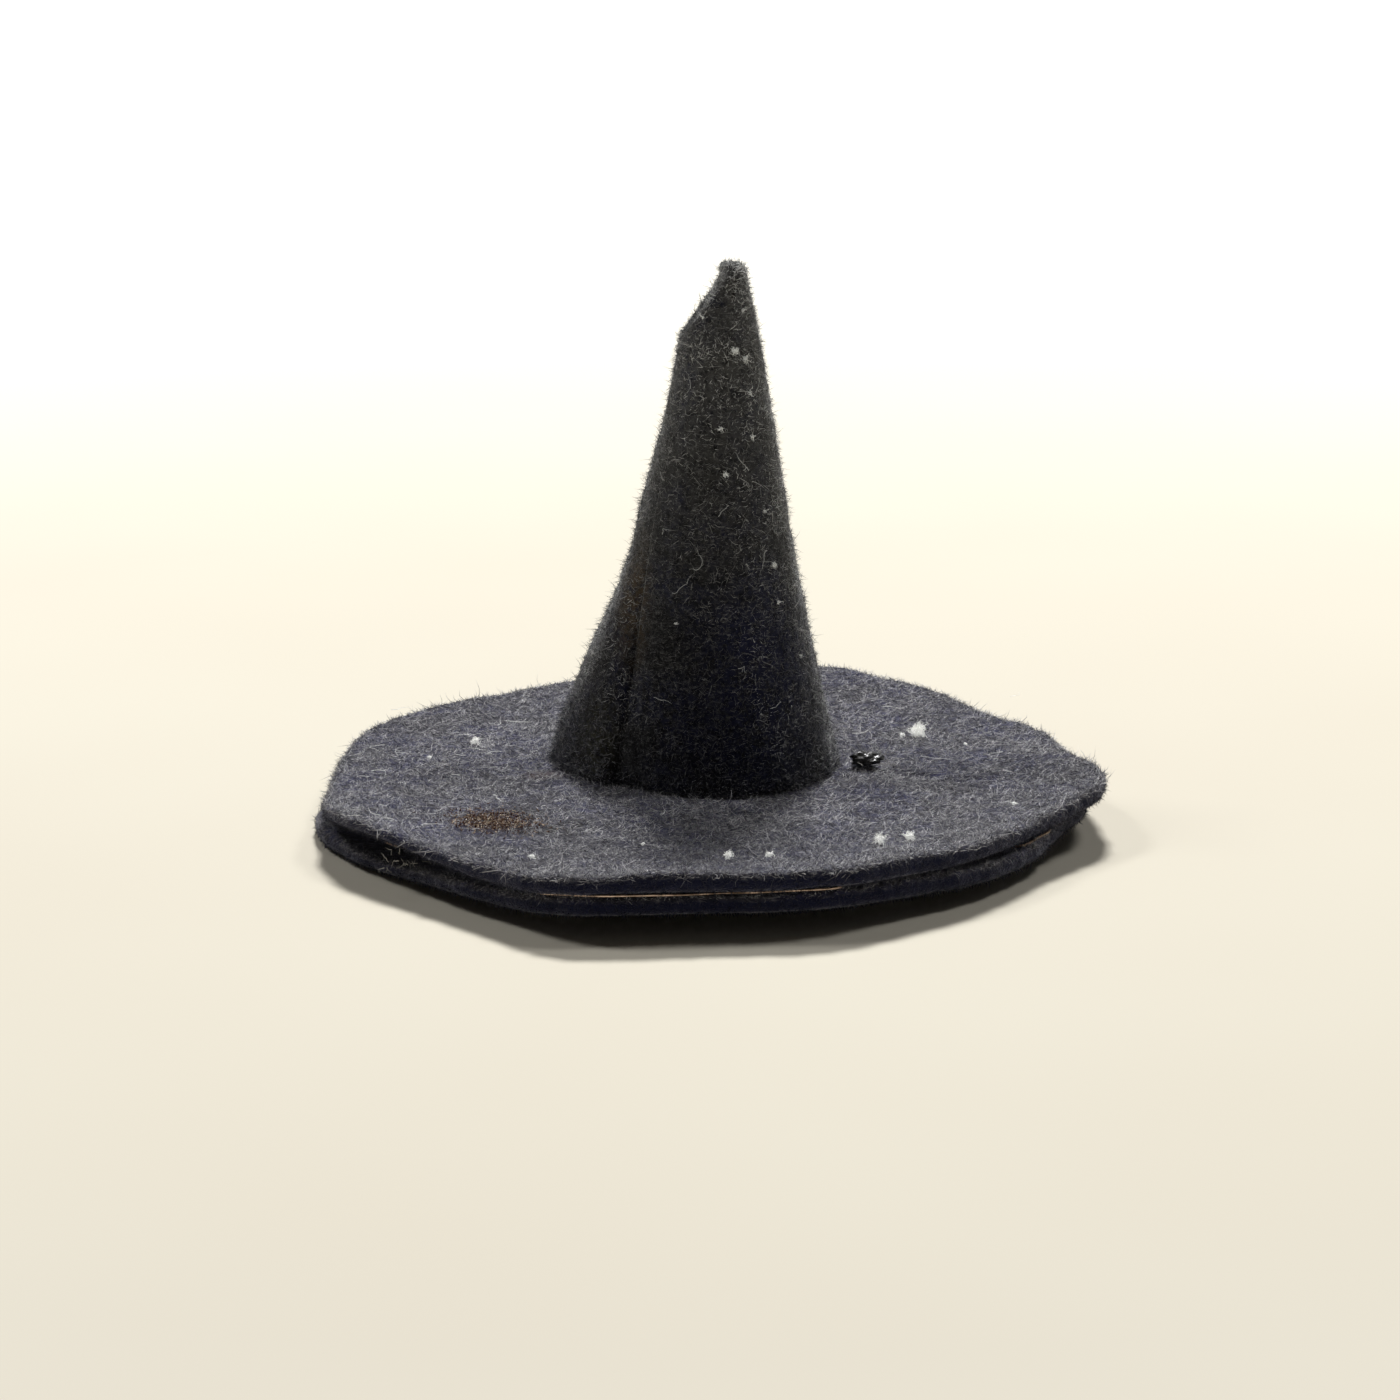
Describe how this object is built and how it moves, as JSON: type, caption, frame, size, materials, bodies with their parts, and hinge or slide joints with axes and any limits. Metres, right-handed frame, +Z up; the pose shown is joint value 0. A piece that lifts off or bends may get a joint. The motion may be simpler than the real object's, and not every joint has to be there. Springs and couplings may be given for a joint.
{
  "type": "witch hat",
  "caption": "Doll-size pointed witch hat of dark felt: a rolled, slant-tipped crown on a wide, wavy double-layer brim with a thin copper wire between its layers.",
  "frame": {"origin": "middle of the hat's box, on the surface that the brim rests on", "axes": "+Z up towards the crown's tip, +X to the hat's right seen from its front, +Y to its back"},
  "size_m": [0.0743, 0.076, 0.0533],
  "materials": {
    "crown_felt": "fuzzy felt, near black with a navy cast",
    "brim_felt": "fuzzy felt, dark navy",
    "copper_wire": "bare copper, polished",
    "hot_glue": "set hot-melt glue"
  },
  "bodies": {
    "root": {"crown": "crown_felt", "brim_top": "brim_felt", "brim_bottom": "brim_felt", "brim_wire": "copper_wire", "brim_glue": "hot_glue", "crown_foot_glue": "hot_glue", "crown_seam_glue": "hot_glue", "foot_glue_drip": "hot_glue", "mouth_glue": "hot_glue"}
  },
  "joints": []
}
